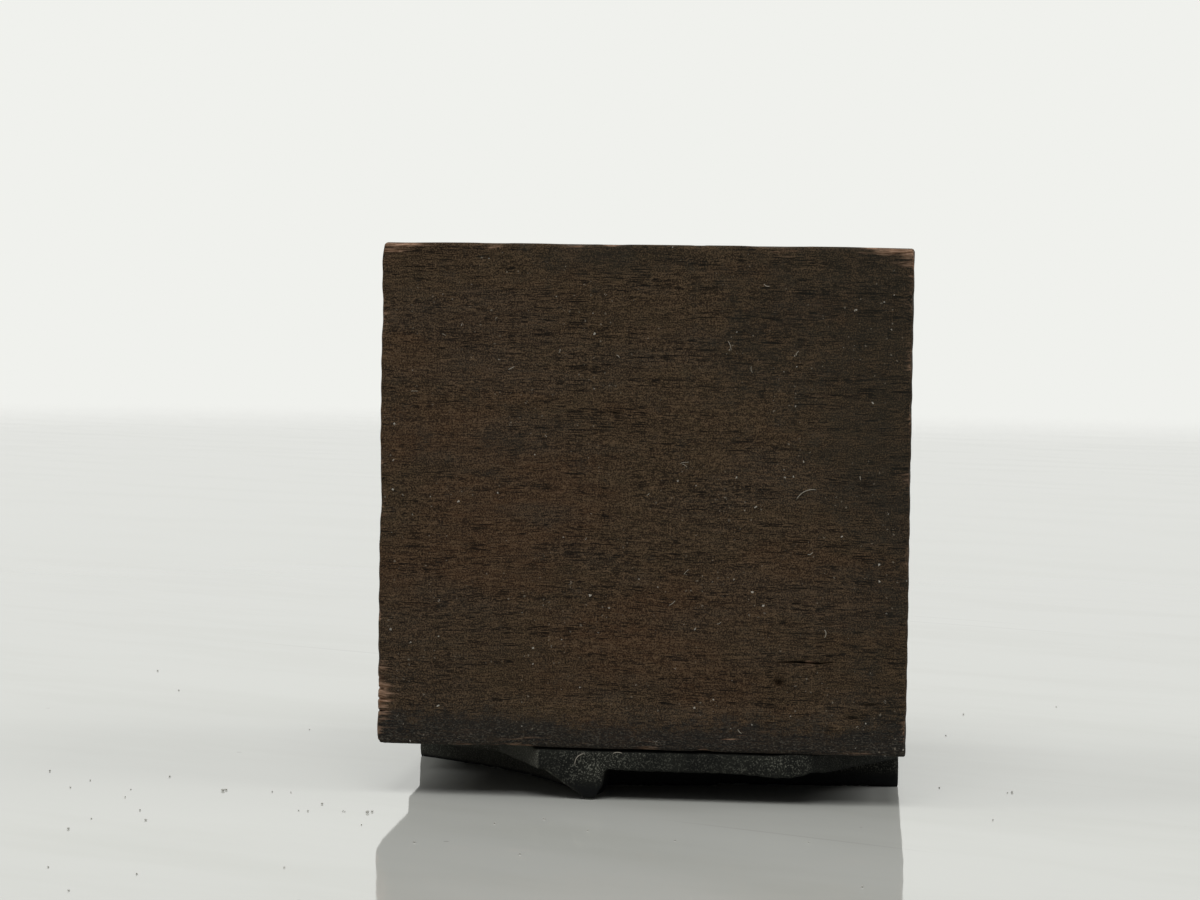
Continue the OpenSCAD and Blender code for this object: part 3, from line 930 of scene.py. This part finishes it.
def drawnSteel():
    # Steel wire, drawn and headed cold, gone dark: brown-grey with rust in spots and round the rim
    material, add, place = newMaterial("drawnSteelWire")
    spots = add("TexNoise", {
        "Vector": place, "Scale": 1 / brads["spotSize"], "Detail": 5, "Roughness": 0.7})
    rim = add("Attribute", attribute_name="rim").node.outputs["Fac"]
    rust = add("Math", [spots, add("Math", [rim, 0.22])], operation="ADD")
    rust = add("MapRange", [rust, 0.47, 0.62, 0, 1])
    tint = add("Mix", [rust, colour(brads["steel"]), colour(brads["rust"])])
    bright = add("MapRange", [rust, 0, 1, 0.9, 0.05])
    dull = add("MapRange", [rust, 0, 1, 0.38, 0.8])
    bump = add("Bump", {"Strength": 0.6, "Distance": 0.04 * mm, "Height": spots})
    surface = add("BsdfPrincipled", {
        "Base Color": tint, "Metallic": bright, "Roughness": dull, "Normal": bump})
    add("OutputMaterial", [surface])
    return material


def makeBrad(name, material, seed):
    low, high = nodeBox(name)
    centre = (low + high) / 2
    head = (high[0] - low[0]) / 2
    length = high[2] - low[2]
    wire = head * brads["wireShare"]
    dome = brads["headDome"]
    profile = [(head * reach, dome * rise) for reach, rise in brads["headOutline"]]
    profile += [(wire, dome * 4.1), (wire, dome * 4.6), (wire, length * 0.5)]
    profile += [(wire, length - brads["pointLength"]), (wire * 0.55, length - 0.7), (0.08, length - 0.04)]
    count = brads["turns"]
    turns = np.arange(count) * 2 * np.pi / count
    rings = [np.column_stack([reach * np.cos(turns), reach * np.sin(turns), 0 * turns + rise])
             for reach, rise in profile]
    points = np.concatenate([[[0, 0, 0]], *rings, [[0, 0, length]]])
    mark = brads["markDepth"] * (0.5 + 0.5 * bumpyNoise(points, 0.35, seed))
    points[:, 2] += mark * softStep(dome * 2 - points[:, 2], 0, dome) * (points[:, 2] > 0)
    faces = ringFaces(1, count, len(profile))
    last = len(points) - 1
    for i in range(count):
        after = (i + 1) % count
        faces.append([0, 1 + after, 1 + i])
        faces.append([last - count + i, last - count + after, last])
    points += (centre[0], centre[1], low[2])
    parts = name.split("_")
    pieceName = parts[0] + "".join(part.title() for part in parts[1:])
    piece = newPiece(pieceName, points, faces, material, name)
    reach = np.hypot(points[:, 0] - centre[0], points[:, 1] - centre[1])
    giveAttribute(piece, "rim", softStep(reach / head, 0.6, 0.95))


steel = drawnSteel()
bradNames = [name for name in sorted(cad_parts) if name.startswith("brad_")]
for number, name in enumerate(bradNames):
    makeBrad(name, steel, brads["seed"] + number)
print("brads made:", len(bradNames))


# Lint. The hairs in the list lie on the front: where each starts, its length, and its heading and bend
# in degrees.
lint = {
    "radius": 0.014,
    "steps": 9,
    "turns": 6,
    "colours": ("#7d7669", "#beb7aa"),
    "mottleSize": 0.25,
    # Hairs on each side with a random place, and the least and most of their length, heading and bend
    "loose": 12,
    "shortest": (0.12, 0, -100),
    "longest": (0.4, 360, 100),
    "fromEdge": 0.8,
    "seed": 5,
    "hairs": [
        {"at": (-2.68, 1.42), "length": 0.78, "heading": 98, "bend": -105},
        {"at": (-1.1, 1.98), "length": 0.42, "heading": 30, "bend": -60},
        {"at": (-5.72, 18.02), "length": 0.3, "heading": 25, "bend": 10},
        {"at": (-9.78, 17.06), "length": 0.28, "heading": 0, "bend": 0},
        {"at": (3.45, 19.35), "length": 0.45, "heading": -55, "bend": -40},
        {"at": (4.45, 18.35), "length": 0.35, "heading": -110, "bend": 70},
        {"at": (6.4, 12.8), "length": 1.0, "heading": 60, "bend": -75},
        {"at": (1.75, 9.55), "length": 0.35, "heading": 60, "bend": -30},
        {"at": (1.5, 14.2), "length": 0.4, "heading": 25, "bend": -35},
        {"at": (1.6, 14.2), "length": 0.3, "heading": -10, "bend": -50},
        {"at": (4.9, 21.75), "length": 0.3, "heading": -60, "bend": 90},
    ],
}


def cottonLint():
    # Cotton hairs and paper fluff, spun and broken: thin, matt and off-white
    material, add, place = newMaterial("brokenCottonLint")
    uneven = add("TexNoise", {"Vector": place, "Scale": 1 / lint["mottleSize"], "Detail": 2})
    tint = add("Mix", [uneven, *[colour(tone) for tone in lint["colours"]]])
    bump = add("Bump", {"Strength": 0.4, "Distance": 0.005 * mm, "Height": uneven})
    surface = add("BsdfPrincipled", {"Base Color": tint, "Roughness": 0.9, "IOR": 1.5, "Normal": bump})
    add("OutputMaterial", [surface])
    return material


def layLint():
    low, high = nodeBox("wood_block")
    radius, steps, count = lint["radius"], lint["steps"], lint["turns"]
    random = np.random.default_rng(lint["seed"])
    # For each side: the axes that a hair lies along, the one that it lies on, and which way is inward
    sides = [(0, 2, 1, 1), (2, 0, 1, -1), (2, 1, 0, 1), (1, 2, 0, -1), (0, 1, 2, -1)]
    laid = [(sides[0], hair) for hair in lint["hairs"]]
    for side in sides:
        along = list(side[:2])
        for _ in range(lint["loose"]):
            at = random.uniform(low[along] + lint["fromEdge"], high[along] - lint["fromEdge"])
            length, heading, bend = random.uniform(lint["shortest"], lint["longest"])
            laid.append((side, {"at": at, "length": length, "heading": heading, "bend": bend}))
    points, faces = [], []
    for (axisU, axisV, axisW, inward), hair in laid:
        first = len(points)
        share = np.arange(steps) / (steps - 1)
        angle = np.radians(hair["heading"] + hair["bend"] * share)
        step = hair["length"] / (steps - 1)
        u = hair["at"][0] + np.concatenate([[0], np.cumsum(np.cos(angle[:-1]) * step)])
        v = hair["at"][1] + np.concatenate([[0], np.cumsum(np.sin(angle[:-1]) * step)])
        thick = radius * np.sqrt(np.clip(1 - (2 * share - 1) ** 6, 0.05, 1))
        surface = (low if inward > 0 else high)[axisW]
        for i in range(steps):
            for turn in np.arange(count) * 2 * np.pi / count:
                out = thick[i] * math.cos(turn)
                point = [0, 0, 0]
                point[axisU] = u[i] - math.sin(angle[i]) * out
                point[axisV] = v[i] + math.cos(angle[i]) * out
                point[axisW] = surface + inward * (radius + thick[i] * math.sin(turn))
                points.append(point)
        faces += ringFaces(first, count, steps, flipped=True)
        faces.append([first + i for i in range(count)])
        faces.append([first + count * steps - 1 - i for i in range(count)])
    newPiece("lint", points, faces, cottonLint())


layLint()
print("lint laid")
